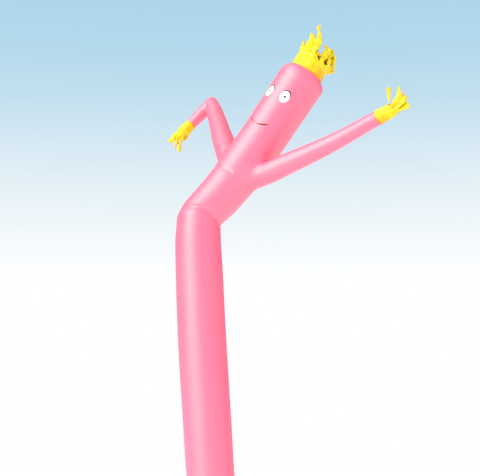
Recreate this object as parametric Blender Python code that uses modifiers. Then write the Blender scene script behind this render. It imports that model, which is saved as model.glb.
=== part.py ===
"""Inflatable tube figure of thin nylon: a bent body tube, two sleeves, cut hair and hands, a sewn face.

Metres, +Z up. The origin is the centre of the open mouth, which faces down and fits over a fan's collar.
The body bends in the XZ plane, leaning back to -X and then over to +X. The figure is seen from -Y.
Left and right are the viewer's.
"""

import math
from collections import namedtuple

import bpy
from mathutils import Matrix, Vector

# Driving dimensions
CLOTH = 0.002  # modelled thickness of the nylon
HEM_CLOTH = 0.003  # two layers at the mouth's hem
HEM_HEIGHT = 0.060
TUBE_RADIUS = 0.2285  # an 18 inch tube
SEAM_GAP = 0.0003  # clearance between sewn pieces
BODY_STEPS = 36
ARM_STEPS = 20

FRONT = Vector((0, -1, 0))
UP = Vector((0, 0, 1))

# Body tube: each section lies across the tube. The tilt turns its plane about Y, from level towards +X.
# The bow lifts its front and back points along the tube, as the fold at the bend does.
Section = namedtuple("Section", "x z tilt half_width half_depth bow")
BODY = [
    Section(0.000, 0.000, 0.0, TUBE_RADIUS, TUBE_RADIUS, 0.0),
    Section(0.000, HEM_HEIGHT, 0.0, TUBE_RADIUS, TUBE_RADIUS, 0.0),
    Section(0.000, HEM_HEIGHT + 0.004, 0.0, TUBE_RADIUS, TUBE_RADIUS, 0.0),
    Section(-0.010, 0.300, -2.5, 0.2275, 0.2295, 0.0),
    Section(-0.046, 0.800, -3.8, 0.2265, 0.2290, 0.0),
    Section(-0.087, 1.374, -3.9, 0.2262, 0.2285, 0.0),
    Section(-0.130, 2.023, -3.8, 0.2290, 0.2280, 0.0),
    Section(-0.156, 2.400, -3.5, 0.2303, 0.2270, 0.0),
    Section(-0.177, 2.782, -3.0, 0.2295, 0.2275, 0.0),
    Section(-0.195, 3.168, -2.5, 0.2270, 0.2290, 0.0),
    Section(-0.204, 3.363, -2.0, 0.2245, 0.2310, 0.0),
    Section(-0.2095, 3.512, 1.0, 0.2215, 0.2330, 0.004),
    Section(-0.2070, 3.622, 8.0, 0.2170, 0.2345, 0.014),
    Section(-0.1995, 3.708, 15.9, 0.2148, 0.2345, 0.032),
    Section(-0.1855, 3.7485, 22.8, 0.2085, 0.2270, 0.050),  # the fold
    Section(-0.1570, 3.790, 27.4, 0.2095, 0.2335, 0.044),
    Section(-0.1215, 3.830, 32.0, 0.2100, 0.2345, 0.030),
    Section(-0.0630, 3.891, 36.8, 0.2136, 0.2330, 0.014),
    Section(0.0210, 3.986, 37.8, 0.2172, 0.2320, 0.004),
    Section(0.0990, 4.080, 37.0, 0.2215, 0.2305, 0.0),
    Section(0.1670, 4.172, 36.2, 0.2262, 0.2290, 0.0),
    Section(0.2960, 4.357, 35.0, 0.2268, 0.2285, 0.0),
    Section(0.4250, 4.542, 34.0, 0.2270, 0.2285, 0.0),
    Section(0.5290, 4.702, 33.0, 0.2290, 0.2290, 0.0),
    Section(0.6390, 4.871, 33.0, 0.2315, 0.2315, 0.0),
    Section(0.7380, 5.025, 33.0, 0.2340, 0.2340, 0.0),
]

# The head's top, where its straight side ends and it rounds over to the hair.
HEAD_TOP_X, HEAD_TOP_Z, HEAD_TILT = 0.8090, 5.1320, 33.0
HEAD_RADIUS = 0.2345
HAIR_RADIUS = 0.172
HAIR_TILT = 36.0
Rounding = namedtuple("Rounding", "height radius tilt")
SHOULDER = [
    Rounding(0.000, HEAD_RADIUS, HEAD_TILT),
    Rounding(0.020, 0.2300, 33.6),
    Rounding(0.036, 0.2215, 34.2),
    Rounding(0.050, 0.2070, 34.8),
    Rounding(0.062, 0.1885, 35.4),
    Rounding(0.070, 0.1735, HAIR_TILT),
    Rounding(0.078, HAIR_RADIUS, HAIR_TILT),
]

# Sleeves: points of the centre line and the radius there. Each starts inside the body.
Station = namedtuple("Station", "x y z radius")
ARM_RIGHT = [
    Station(0.208, -0.039, 4.058, 0.086),
    Station(0.292, -0.085, 4.088, 0.093),
    Station(0.376, -0.130, 4.118, 0.101),
    Station(0.466, -0.179, 4.150, 0.107),
    Station(0.556, -0.227, 4.182, 0.106),
    Station(0.646, -0.276, 4.214, 0.1015),
    Station(0.805, -0.363, 4.267, 0.0940),
    Station(0.961, -0.451, 4.322, 0.0872),
    Station(1.114, -0.538, 4.380, 0.0798),
    Station(1.259, -0.625, 4.444, 0.0738),
    Station(1.380, -0.700, 4.499, 0.0700),
    Station(1.463, -0.749, 4.534, 0.0660),
]
ARM_LEFT = [
    Station(0.114, -0.010, 4.262, 0.100),
    Station(0.093, 0.060, 4.332, 0.106),
    Station(0.073, 0.130, 4.402, 0.110),
    Station(0.050, 0.232, 4.503, 0.111),
    Station(0.025, 0.336, 4.604, 0.1095),
    Station(-0.005, 0.463, 4.733, 0.1010),
    Station(-0.034, 0.591, 4.866, 0.0934),
    Station(-0.060, 0.690, 4.968, 0.0880),
    Station(-0.085, 0.775, 5.060, 0.0825),
    Station(-0.114, 0.836, 5.118, 0.0780),  # the elbow
    Station(-0.190, 0.843, 5.058, 0.0675),
    Station(-0.244, 0.843, 5.001, 0.0635),
    Station(-0.286, 0.839, 4.953, 0.0580),
    Station(-0.324, 0.831, 4.911, 0.0510),
]
MOST_STRETCH = 1.40  # how far a section may widen across a sharp bend

# Cut strips. Azimuths run from the front towards the viewer's right, seen up the tube's axis.
# up, out and side place the tip from the root; bow pushes the middle outwards.
Strip = namedtuple("Strip", "azimuth up out side bow root_width tip_width turn")
STRIP_HEIGHT = 0.015  # of the narrow strip that the cut pieces hang on
STRIP_ROWS = 7
HAIR_BAND_HEIGHT = 0.100
HAIR = [
    Strip(-168.75, 0.130, 0.010, 0.015, 0.020, 0.060, 0.034, 10),
    Strip(-146.25, 0.230, 0.040, 0.045, 0.015, 0.060, 0.034, -10),
    Strip(-123.75, 0.190, 0.050, 0.020, 0.020, 0.060, 0.040, 10),
    Strip(-101.25, 0.090, 0.035, 0.005, 0.020, 0.060, 0.030, -10),
    Strip(-78.75, 0.125, 0.035, -0.005, 0.020, 0.062, 0.036, 10),
    Strip(-56.25, 0.130, 0.020, -0.005, 0.020, 0.062, 0.044, 0),
    Strip(-33.75, 0.200, 0.050, -0.050, 0.020, 0.062, 0.040, 10),
    Strip(-11.25, 0.295, 0.070, -0.100, 0.000, 0.060, 0.036, -10),
    Strip(11.25, 0.070, 0.040, -0.025, 0.020, 0.058, 0.030, 0),
    Strip(33.75, 0.160, -0.015, -0.090, 0.020, 0.060, 0.024, 10),
    Strip(56.25, 0.190, -0.040, -0.080, 0.030, 0.060, 0.030, 0),
    Strip(78.75, 0.175, -0.030, -0.060, 0.040, 0.060, 0.036, 0),
    Strip(101.25, 0.040, 0.035, -0.030, 0.010, 0.060, 0.050, 40),
    Strip(123.75, 0.130, 0.015, -0.005, 0.030, 0.060, 0.032, 10),
    Strip(146.25, 0.180, -0.025, 0.015, 0.020, 0.060, 0.034, -10),
    Strip(168.75, 0.135, -0.035, 0.035, 0.015, 0.060, 0.028, 10),
]
CUFF_RIGHT_RADII = (0.0650, 0.0660, 0.0640)
CUFF_RIGHT_HEIGHT = 0.115
CUFF_LEFT_RADII = (0.0520, 0.0600, 0.0620)
CUFF_LEFT_HEIGHT = 0.112
FINGERS_RIGHT = [
    Strip(-157.5, 0.140, 0.060, 0.075, 0.020, 0.042, 0.026, 10),
    Strip(-112.5, 0.045, 0.180, 0.000, 0.070, 0.040, 0.048, 75),
    Strip(-67.5, 0.175, 0.100, -0.005, 0.015, 0.044, 0.030, 60),
    Strip(-22.5, 0.205, 0.010, -0.015, 0.020, 0.044, 0.024, 10),
    Strip(22.5, 0.190, 0.015, 0.020, 0.010, 0.044, 0.056, 0),
    Strip(67.5, 0.115, -0.035, -0.020, 0.000, 0.042, 0.026, -10),
    Strip(112.5, 0.085, -0.045, 0.000, 0.010, 0.042, 0.026, 10),
    Strip(157.5, 0.130, -0.040, 0.035, 0.010, 0.042, 0.026, -10),
]
FINGERS_LEFT = [
    Strip(-157.5, 0.080, 0.030, 0.020, 0.010, 0.042, 0.026, 10),
    Strip(-112.5, 0.120, 0.045, 0.005, 0.010, 0.042, 0.028, -10),
    Strip(-67.5, 0.185, 0.075, -0.015, 0.005, 0.042, 0.034, 20),
    Strip(-22.5, 0.185, 0.010, -0.040, 0.005, 0.042, 0.024, 10),
    Strip(22.5, 0.140, -0.030, -0.010, 0.010, 0.042, 0.030, 0),
    Strip(67.5, 0.175, -0.040, 0.000, 0.010, 0.044, 0.044, 0),
    Strip(112.5, 0.115, -0.015, 0.005, 0.010, 0.042, 0.030, 10),
    Strip(157.5, 0.085, -0.010, 0.015, 0.010, 0.042, 0.024, -10),
]

# Face: places on the head, as an azimuth from the front and a distance below the head's top edge.
PATCH_CLOTH = 0.001
FACE_AZIMUTH = -29.5
EYE_AZIMUTH = 24.5  # each eye, from the face's middle
EYE_BELOW = 0.300
EYE_HALF_WIDTH, EYE_HALF_HEIGHT = 0.052, 0.066
PUPIL_RADIUS = 0.011
LID_WIDTH = 0.016
MOUTH_BELOW = 0.638
MOUTH_HALF_ANGLE = 29.5
MOUTH_DROP = 0.047  # the middle of the smile, below its corners
MOUTH_HALF_HEIGHT = 0.009


def clear_scene():
    for obj in list(bpy.data.objects):
        bpy.data.objects.remove(obj, do_unlink=True)


def material(name, colour, roughness):
    made = bpy.data.materials.new(name)
    made.use_nodes = True
    shader = made.node_tree.nodes["Principled BSDF"]
    shader.inputs["Base Color"].default_value = (*colour, 1.0)
    shader.inputs["Roughness"].default_value = roughness
    shader.inputs["Metallic"].default_value = 0.0
    return made


def add_object(name, vertices, faces, collection, finish=None):
    mesh = bpy.data.meshes.new(name)
    mesh.from_pydata(vertices, [], faces)
    mesh.shade_smooth()
    if finish:
        mesh.materials.append(finish)
    obj = bpy.data.objects.new(name, mesh)
    collection.objects.link(obj)
    return obj


def add_modifier(obj, kind, **settings):
    modifier = obj.modifiers.new(kind.title(), kind)
    for key, value in settings.items():
        setattr(modifier, key, value)
    return modifier


def thicken(obj, thickness, offset=-1.0):
    """Gives the open cloth its thickness; an offset of -1 puts it on the inner side."""
    add_modifier(obj, "TRIANGULATE", quad_method="FIXED", ngon_method="BEAUTY")
    return add_modifier(obj, "SOLIDIFY", thickness=thickness, offset=offset)


def cut(obj, cutter):
    add_modifier(obj, "BOOLEAN", operation="DIFFERENCE", solver="EXACT", object=cutter)


def hide_cutter(obj):
    obj.hide_render = True
    obj.display_type = "WIRE"
    add_modifier(obj, "TRIANGULATE", quad_method="FIXED", ngon_method="BEAUTY")


def azimuths(steps):
    return [2 * math.pi * i / steps for i in range(steps)]


def loft(rings, closed=False):
    """Vertices and faces of a tube through rings of equal length, with end caps when closed."""
    steps = len(rings[0])
    vertices = [point for ring in rings for point in ring]
    faces = []
    for row in range(len(rings) - 1):
        for i in range(steps):
            a = row * steps + i
            b = row * steps + (i + 1) % steps
            faces.append((a, b, b + steps, a + steps))
    if closed:
        faces.append(tuple(reversed(range(steps))))
        faces.append(tuple(range(len(vertices) - steps, len(vertices))))
    return vertices, faces


# Body


def across(tilt):
    angle = math.radians(tilt)
    return Vector((math.cos(angle), 0, -math.sin(angle)))


def along(tilt):
    angle = math.radians(tilt)
    return Vector((math.sin(angle), 0, math.cos(angle)))


def head_sections():
    top = Vector((HEAD_TOP_X, 0, HEAD_TOP_Z))
    made = []
    for row in SHOULDER:
        centre = top + along(HEAD_TILT) * row.height
        made.append(Section(centre.x, centre.z, row.tilt, row.radius, row.radius, 0.0))
    return made


def body_ring(section, grow=0.0):
    centre = Vector((section.x, 0, section.z))
    side, axis = across(section.tilt), along(section.tilt)
    ring = []
    for angle in azimuths(BODY_STEPS):
        right = math.sin(angle)
        front = math.cos(angle)
        point = centre + side * (section.half_width + grow) * right
        point += FRONT * (section.half_depth + grow) * front
        point += axis * section.bow * front**2
        ring.append(point)
    return ring


def on_section(section, azimuth, lift):
    """A point lift metres off the body's surface, on one section."""
    angle = math.radians(azimuth)
    centre = Vector((section.x, 0, section.z))
    point = centre + across(section.tilt) * (section.half_width + lift) * math.sin(angle)
    return point + FRONT * (section.half_depth + lift) * math.cos(angle)


def on_head(azimuth, below, lift):
    """A point lift metres off the head, below metres under its top edge, down its middle line."""
    rows = (BODY + head_sections()[:1])[::-1]
    reached = 0.0
    for upper, lower in zip(rows, rows[1:]):
        length = math.hypot(upper.x - lower.x, upper.z - lower.z)
        if reached + length >= below:
            break
        reached += length
    share = (below - reached) / length
    return on_section(upper, azimuth, lift).lerp(on_section(lower, azimuth, lift), share)


def make_body(parts, cutters, pink):
    rings = [body_ring(section) for section in BODY + head_sections()]
    body = add_object("body_tube", *loft(rings), parts, pink)
    layers = body.vertex_groups.new(name="layers")
    layers.add(list(range(2 * BODY_STEPS)), 1.0, "REPLACE")
    layers.add(list(range(2 * BODY_STEPS, len(body.data.vertices))), CLOTH / HEM_CLOTH, "REPLACE")
    thicken(body, HEM_CLOTH).vertex_group = layers.name
    grown = [body_ring(section, SEAM_GAP) for section in BODY[17:24]]
    envelope = add_object("cutter_body_outside", *loft(grown, closed=True), cutters)
    hide_cutter(envelope)
    return body, envelope


# Sleeves


def sweep_frames(points):
    """A frame (axis, side, front) at each point, carried along the line without twist."""
    runs = [(b - a).normalized() for a, b in zip(points, points[1:])]
    axes = [runs[0]] + [(a + b).normalized() for a, b in zip(runs, runs[1:])] + [runs[-1]]
    front = (FRONT - axes[0] * FRONT.dot(axes[0])).normalized()
    frames = []
    for i, axis in enumerate(axes):
        if i:
            front = axes[i - 1].rotation_difference(axis) @ front
        front = (front - axis * front.dot(axis)).normalized()
        bend = runs[min(i, len(runs) - 1)] - runs[max(i - 1, 0)]
        frames.append((axis, axis.cross(front), front, bend))
    return frames


def sleeve_rings(stations, shrink=0.0):
    points = [Vector((s.x, s.y, s.z)) for s in stations]
    rings = []
    for station, point, (axis, side, front, bend) in zip(stations, points, sweep_frames(points)):
        half_turn = math.asin(min(bend.length / 2, 0.95))
        stretch = min(1 / math.cos(half_turn), MOST_STRETCH)
        inward = (bend - axis * bend.dot(axis)).normalized() if bend.length > 1e-6 else side
        ring = []
        for angle in azimuths(ARM_STEPS):
            offset = side * math.sin(angle) + front * math.cos(angle)
            offset += inward * offset.dot(inward) * (stretch - 1)
            ring.append(point + offset * (station.radius - shrink))
        rings.append(ring)
    return rings


def make_arm(side_name, stations, body, envelope, parts, cutters, pink):
    arm = add_object(f"arm_{side_name}", *loft(sleeve_rings(stations)), parts, pink)
    thicken(arm, CLOTH)
    cut(arm, envelope)
    bore_rings = sleeve_rings(stations[:6], CLOTH)
    bore = add_object(f"cutter_arm_{side_name}", *loft(bore_rings, closed=True), cutters)
    hide_cutter(bore)
    cut(body, bore)
    return arm


# Cut strips, and the short tubes that they finish


def end_frame(stations):
    """Centre and frame (axis, side, front) of a sleeve's far end."""
    points = [Vector((s.x, s.y, s.z)) for s in stations]
    axis = (points[-1] - points[-2]).normalized()
    front = (FRONT - axis * FRONT.dot(axis)).normalized()
    return points[-1], axis, axis.cross(front), front


def strip_edges(strips, radius):
    """Azimuths of both edges of each strip's root, in order."""
    edges = []
    for strip in strips:
        half = strip.root_width / radius / 2
        middle = math.radians(strip.azimuth)
        edges += [middle - half, middle + half]
    return edges


def short_tube(name, frame, start, heights_radii, strips, parts, finish):
    """A tube in line with the frame, its corners where the strips' edges are."""
    centre, axis, side, front = frame
    edges = strip_edges(strips, heights_radii[-1][1])
    rings = []
    for height, radius in heights_radii:
        middle = centre + axis * (start + height)
        rings.append([middle + (side * math.sin(e) + front * math.cos(e)) * radius for e in edges])
    tube = add_object(name, *loft(rings), parts, finish)
    thicken(tube, CLOTH)
    return tube


def strip_rows(strip, root, axis, outward, sideways):
    """Pairs of points down both edges of one cut strip."""
    tip = root + axis * strip.up + outward * strip.out + sideways * strip.side
    handle = root + axis * 0.5 * strip.up + outward * strip.bow
    rows = []
    width_way = sideways
    before = axis
    for row in range(1, STRIP_ROWS + 1):
        t = row / STRIP_ROWS
        point = root * (1 - t) ** 2 + handle * 2 * t * (1 - t) + tip * t**2
        heading = ((handle - root) * (1 - t) + (tip - handle) * t).normalized()
        width_way = before.rotation_difference(heading) @ width_way
        before = heading
        turned = Matrix.Rotation(math.radians(strip.turn) * t, 3, heading) @ width_way
        half = (strip.root_width + (strip.tip_width - strip.root_width) * t) / 2
        rows.append((point - turned * half, point + turned * half))
    return rows


def fringe(name, frame, start, radius, strips, parts, finish):
    """A narrow ring of cloth with the strips cut from it, as one sheet."""
    centre, axis, side, front = frame
    edges = strip_edges(strips, radius)
    rings = []
    for height in (0.0, STRIP_HEIGHT):
        middle = centre + axis * (start + height)
        rings.append([middle + (side * math.sin(e) + front * math.cos(e)) * radius for e in edges])
    vertices, faces = loft(rings)
    for i, strip in enumerate(strips):
        angle = math.radians(strip.azimuth)
        outward = side * math.sin(angle) + front * math.cos(angle)
        sideways = side * math.cos(angle) - front * math.sin(angle)
        left = len(edges) + 2 * i
        right = left + 1
        root = (vertices[left] + vertices[right]) / 2
        for near, far in strip_rows(strip, root, axis, outward, sideways):
            vertices += [near, far]
            faces.append((left, right, len(vertices) - 1, len(vertices) - 2))
            left, right = len(vertices) - 2, len(vertices) - 1
    made = add_object(name, vertices, faces, parts, finish)
    thicken(made, CLOTH)
    return made


def make_hair(parts, yellow):
    end = head_sections()[-1]
    frame = (Vector((end.x, 0, end.z)), along(HAIR_TILT), across(HAIR_TILT), FRONT)
    start = SEAM_GAP
    rows = [(0.0, HAIR_RADIUS), (HAIR_BAND_HEIGHT / 2, HAIR_RADIUS), (HAIR_BAND_HEIGHT, HAIR_RADIUS)]
    short_tube("hair_band", frame, start, rows, HAIR, parts, yellow)
    start += HAIR_BAND_HEIGHT + SEAM_GAP
    fringe("hair_locks", frame, start, HAIR_RADIUS, HAIR, parts, yellow)


def make_hand(side_name, stations, radii, height, strips, parts, yellow):
    frame = end_frame(stations)
    rows = [(height * i / (len(radii) - 1), radius) for i, radius in enumerate(radii)]
    short_tube(f"cuff_{side_name}", frame, SEAM_GAP, rows, strips, parts, yellow)
    start = height + 2 * SEAM_GAP
    fringe(f"fingers_{side_name}", frame, start, radii[-1], strips, parts, yellow)


# Face


def patch(name, outline, lift, parts, finish):
    """A small cloth piece on the head, filled from its middle; outline holds (azimuth, below) pairs."""
    middle = [sum(values) / len(outline) for values in zip(*outline)]
    vertices = [on_head(*middle, lift)]
    faces = []
    count = len(outline)
    for share in (0.5, 1.0):
        for azimuth, below in outline:
            shifted = [m + (value - m) * share for m, value in zip(middle, (azimuth, below))]
            vertices.append(on_head(*shifted, lift))
    for i in range(count):
        j = (i + 1) % count
        faces.append((0, 1 + j, 1 + i))
        faces.append((1 + i, 1 + j, 1 + count + j, 1 + count + i))
    made = add_object(name, vertices, faces, parts, finish)
    thicken(made, PATCH_CLOTH, offset=1.0)
    return made


def band_patch(name, rows, lift, parts, finish):
    """A narrow curved piece on the head from rows of (azimuth, below) pairs: one edge, the other edge."""
    vertices = []
    faces = []
    for upper, lower in rows:
        vertices += [on_head(*lower, lift), on_head(*upper, lift)]
    for i in range(len(rows) - 1):
        a = 2 * i
        faces.append((a, a + 2, a + 3, a + 1))
    made = add_object(name, vertices, faces, parts, finish)
    thicken(made, PATCH_CLOTH, offset=1.0)
    return made


def degrees_across(length):
    return math.degrees(length / HEAD_RADIUS)


def oval(azimuth, below, half_width, half_height, steps):
    """Outline of an oval on the head, clockwise as seen."""
    turn = degrees_across(half_width)
    return [
        (azimuth + turn * math.sin(angle), below - half_height * math.cos(angle))
        for angle in azimuths(steps)
    ]


def make_eye(side_name, azimuth, parts, white, grey, dark):
    lift = 2 * SEAM_GAP
    eye = oval(azimuth, EYE_BELOW, EYE_HALF_WIDTH, EYE_HALF_HEIGHT, 20)
    patch(f"eye_{side_name}", eye, lift, parts, white)
    pupil = oval(azimuth, EYE_BELOW, PUPIL_RADIUS, PUPIL_RADIUS, 10)
    patch(f"pupil_{side_name}", pupil, lift + PATCH_CLOTH + SEAM_GAP, parts, grey)
    rows = []
    steps = 8
    for i in range(steps + 1):
        angle = math.radians(-35 + 130 * i / steps)
        width = LID_WIDTH * (0.25 + 0.75 * math.sin(math.pi * i / steps))
        pair = []
        for reach in (SEAM_GAP * 3 + width, SEAM_GAP * 3):
            turn = degrees_across(EYE_HALF_WIDTH + reach) * math.sin(angle)
            pair.append((azimuth + turn, EYE_BELOW - (EYE_HALF_HEIGHT + reach) * math.cos(angle)))
        rows.append(tuple(pair))
    band_patch(f"lid_{side_name}", rows, lift, parts, dark)


def make_mouth(parts, dark):
    rows = []
    steps = 16
    for i in range(steps + 1):
        share = 2 * i / steps - 1
        azimuth = FACE_AZIMUTH + MOUTH_HALF_ANGLE * share
        middle = MOUTH_BELOW + MOUTH_DROP * (0.5 - share**2)
        half = MOUTH_HALF_HEIGHT * (0.3 + 0.7 * (1 - share**4))
        rows.append(((azimuth, middle - half), (azimuth, middle + half)))
    band_patch("mouth", rows, 2 * SEAM_GAP, parts, dark)


def main():
    clear_scene()
    parts = bpy.data.collections.new("inflatable_tube_figure")
    cutters = bpy.data.collections.new("cutters")
    bpy.context.scene.collection.children.link(parts)
    bpy.context.scene.collection.children.link(cutters)
    pink = material("pink_nylon", (1.0, 0.27, 0.40), 0.45)
    yellow = material("yellow_nylon", (1.0, 0.86, 0.02), 0.5)
    white = material("white_cloth", (0.95, 0.95, 0.95), 0.55)
    grey = material("grey_cloth", (0.12, 0.12, 0.12), 0.55)
    dark = material("dark_cloth", (0.09, 0.01, 0.02), 0.55)
    body, envelope = make_body(parts, cutters, pink)
    make_arm("right", ARM_RIGHT, body, envelope, parts, cutters, pink)
    make_arm("left", ARM_LEFT, body, envelope, parts, cutters, pink)
    make_hair(parts, yellow)
    make_hand("right", ARM_RIGHT, CUFF_RIGHT_RADII, CUFF_RIGHT_HEIGHT, FINGERS_RIGHT, parts, yellow)
    make_hand("left", ARM_LEFT, CUFF_LEFT_RADII, CUFF_LEFT_HEIGHT, FINGERS_LEFT, parts, yellow)
    make_eye("right", FACE_AZIMUTH + EYE_AZIMUTH, parts, white, grey, dark)
    make_eye("left", FACE_AZIMUTH - EYE_AZIMUTH, parts, white, grey, dark)
    make_mouth(parts, dark)


main()
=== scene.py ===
"""Looks of the inflatable tube figure: nylon tubes, sewn seams, cut hair and hands, and the face."""

import math
from collections import namedtuple

import bmesh
import bpy
import numpy as np
from mathutils import Matrix, Vector
from mathutils.bvhtree import BVHTree


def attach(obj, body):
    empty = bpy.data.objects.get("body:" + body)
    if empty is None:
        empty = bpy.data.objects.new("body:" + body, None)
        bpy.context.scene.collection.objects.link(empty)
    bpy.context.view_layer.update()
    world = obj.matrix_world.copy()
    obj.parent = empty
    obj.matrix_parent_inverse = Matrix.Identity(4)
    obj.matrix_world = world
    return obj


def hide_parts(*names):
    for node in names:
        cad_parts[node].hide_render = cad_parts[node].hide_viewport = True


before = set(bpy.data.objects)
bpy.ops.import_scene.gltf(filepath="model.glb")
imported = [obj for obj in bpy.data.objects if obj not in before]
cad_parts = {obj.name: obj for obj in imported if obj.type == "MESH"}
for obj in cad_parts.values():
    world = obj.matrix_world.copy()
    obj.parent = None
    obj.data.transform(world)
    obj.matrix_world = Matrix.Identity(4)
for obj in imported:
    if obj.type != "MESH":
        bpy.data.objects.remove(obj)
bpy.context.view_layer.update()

ROOT = "root"
FRONT = Vector((0, -1, 0))
SIDES = (("right", 1), ("left", -1))  # the viewer's side, and the sign of its azimuths
CLOTH = 0.0015  # modelled thickness of the nylon
PATCH_CLOTH = 0.0009
HEM_HEIGHT = 0.06
TUBE_RADIUS = 0.2285

# Body tube, as sections across it: x, z, the tilt of the section's plane, its half width and half depth,
# and how far its front and back points reach up the tube.
BODY = [
    (0.0, 0.0, 0.0, TUBE_RADIUS, TUBE_RADIUS, 0.0),
    (0.0, HEM_HEIGHT, 0.0, TUBE_RADIUS, TUBE_RADIUS, 0.0),
    (-0.01, 0.3, -2.5, 0.2275, 0.2295, 0.0), (-0.046, 0.8, -3.8, 0.2265, 0.229, 0.0),
    (-0.087, 1.374, -3.9, 0.2262, 0.2285, 0.0), (-0.13, 2.023, -3.8, 0.229, 0.228, 0.0),
    (-0.156, 2.4, -3.5, 0.2303, 0.227, 0.0), (-0.177, 2.782, -3.0, 0.2295, 0.2275, 0.0),
    (-0.195, 3.168, -2.5, 0.227, 0.229, 0.0), (-0.204, 3.363, -2.0, 0.2245, 0.231, 0.0),
    (-0.2095, 3.512, 1.0, 0.2215, 0.233, 0.004), (-0.207, 3.622, 8.0, 0.217, 0.2345, 0.014),
    (-0.1995, 3.708, 15.9, 0.2148, 0.2345, 0.032), (-0.1855, 3.7485, 22.8, 0.2085, 0.227, 0.05),
    (-0.157, 3.79, 27.4, 0.2095, 0.2335, 0.044), (-0.1215, 3.83, 32.0, 0.21, 0.2345, 0.03),
    (-0.063, 3.891, 36.8, 0.2136, 0.233, 0.014), (0.021, 3.986, 37.8, 0.2172, 0.232, 0.004),
    (0.099, 4.08, 37.0, 0.2215, 0.2305, 0.0), (0.167, 4.172, 36.2, 0.2262, 0.229, 0.0),
    (0.296, 4.357, 35.0, 0.2268, 0.2285, 0.0), (0.425, 4.542, 34.0, 0.227, 0.2285, 0.0),
    (0.529, 4.702, 33.0, 0.229, 0.229, 0.0), (0.639, 4.871, 33.0, 0.2315, 0.2315, 0.0),
    (0.738, 5.025, 33.0, 0.234, 0.234, 0.0),
]
FOLD_ROW, WRINKLE_ROW = 13, 18
BEND_ROWS = range(10, 19)
HEAD_TOP_X, HEAD_TOP_Z, HEAD_TILT = 0.809, 5.132, 33.0
HEAD_RADIUS = 0.2345
HAIR_RADIUS, HAIR_TILT = 0.172, 36.0

# The head's rounding, from its edge to the hair: height, radius and tilt
SHOULDER = [
    (0.0, HEAD_RADIUS, HEAD_TILT), (0.02, 0.23, 33.6), (0.036, 0.2215, 34.2), (0.05, 0.207, 34.8),
    (0.062, 0.1885, 35.4), (0.07, 0.1735, HAIR_TILT), (0.078, HAIR_RADIUS, HAIR_TILT),
]

# Folds: how deep or high, how wide, and the azimuths that they are on, as a middle and a half width
FOLD_DEPTH, FOLD_WIDTH, FOLD_SIDE = 0.01, 0.018, (-22, 66)
SWELL_HEIGHT, SWELL_WIDTH, SWELL_SIDE = 0.003, 0.035, (-50, 60)
SWELL_AWAY = 0.05
CREASE_HEIGHT, CREASE_WIDTH, CREASE_SIDE = 0.004, 0.11, (90, 70)
CREASE_PITCH = 0.062
WRINKLE_DEPTH, WRINKLE_WIDTH, WRINKLE_SIDE = 0.0065, 0.022, (-35, 95)
WRINKLE_ABOVE = 0.035
HEM_STEP = 0.0008

# Sleeves: points of the centre line and the radius there
ARM_RIGHT = [
    (0.208, -0.039, 4.058, 0.086), (0.292, -0.085, 4.088, 0.093), (0.376, -0.13, 4.118, 0.101),
    (0.466, -0.179, 4.15, 0.107), (0.556, -0.227, 4.182, 0.106), (0.646, -0.276, 4.214, 0.1015),
    (0.805, -0.363, 4.267, 0.094), (0.961, -0.451, 4.322, 0.0872), (1.114, -0.538, 4.38, 0.0798),
    (1.259, -0.625, 4.444, 0.0738), (1.38, -0.7, 4.499, 0.07), (1.463, -0.749, 4.534, 0.066),
]
ARM_LEFT = [
    (0.114, -0.01, 4.262, 0.1), (0.093, 0.06, 4.332, 0.106), (0.073, 0.13, 4.402, 0.11),
    (0.05, 0.232, 4.503, 0.111), (0.025, 0.336, 4.604, 0.1095), (-0.005, 0.463, 4.733, 0.101),
    (-0.034, 0.591, 4.866, 0.0934), (-0.06, 0.69, 4.968, 0.088), (-0.085, 0.775, 5.06, 0.0825),
    (-0.114, 0.836, 5.118, 0.078), (-0.19, 0.843, 5.058, 0.0675), (-0.244, 0.843, 5.001, 0.0635),
    (-0.286, 0.839, 4.953, 0.058), (-0.324, 0.831, 4.911, 0.051),
]
MOST_STRETCH = 1.4  # how far a ring may widen across a sharp bend
SEAM_ROW = 2  # the row of a sleeve's points that its stitches follow

# How finely the cloths are made
BODY_STEPS, SLEEVE_STEPS, BAND_STEPS = 96, 72, 144
HEM_SPACING, BEND_SPACING, SHOULDER_SPACING, BODY_SPACING = 0.01, 0.007, 0.005, 0.022
REACH_STEP = 0.006
BACK_REACH = 0.02

# Cut strips: where each starts round its band, how far its face turns by the tip, how much painted
# shade it takes, and its path, with up, side, front (from the middle of the band's seam) and width.
Strip = namedtuple("Strip", "azimuth turn tone path")
STRIP_LAP, STRIP_HEIGHT, STRIP_LIFT = 0.01, 0.015, 0.0006
STRIP_POINTS, STRIP_ACROSS = 26, 13
STRIP_OVERLAP = 1.16
STRIP_MAP_WIDTH = 0.06
HANGING_SHAPE = ((0.35, 0.25, 0.45, 1.0), (0.7, 0.9, 0.85, 0.95), (1.0, 1.3, 1.0, 0.6))


def strip(azimuth, turn, tone, *rows):
    """A strip whose path is given in millimetres."""
    return Strip(azimuth, turn, tone, [[value / 1000 for value in row] for row in rows])


def hanging(radius, height, width, *rows):
    """Strips of the side away from the face; each rises and leans outwards in one curve."""
    made = []
    for azimuth, up, out, sway in rows:
        angle = math.radians(azimuth)
        path = []
        for share, lean, rise, size in HANGING_SHAPE:
            reach, drift = radius + out * lean, sway * math.sin(4.0 * share)
            beside = reach * math.sin(angle) + drift * math.cos(angle)
            ahead = reach * math.cos(angle) - drift * math.sin(angle)
            path.append((height + up * rise, beside, ahead, width * size))
        # Each takes a light painted shade.
        made.append(Strip(azimuth, 20.0, 0.2, path))
    return made


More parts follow.
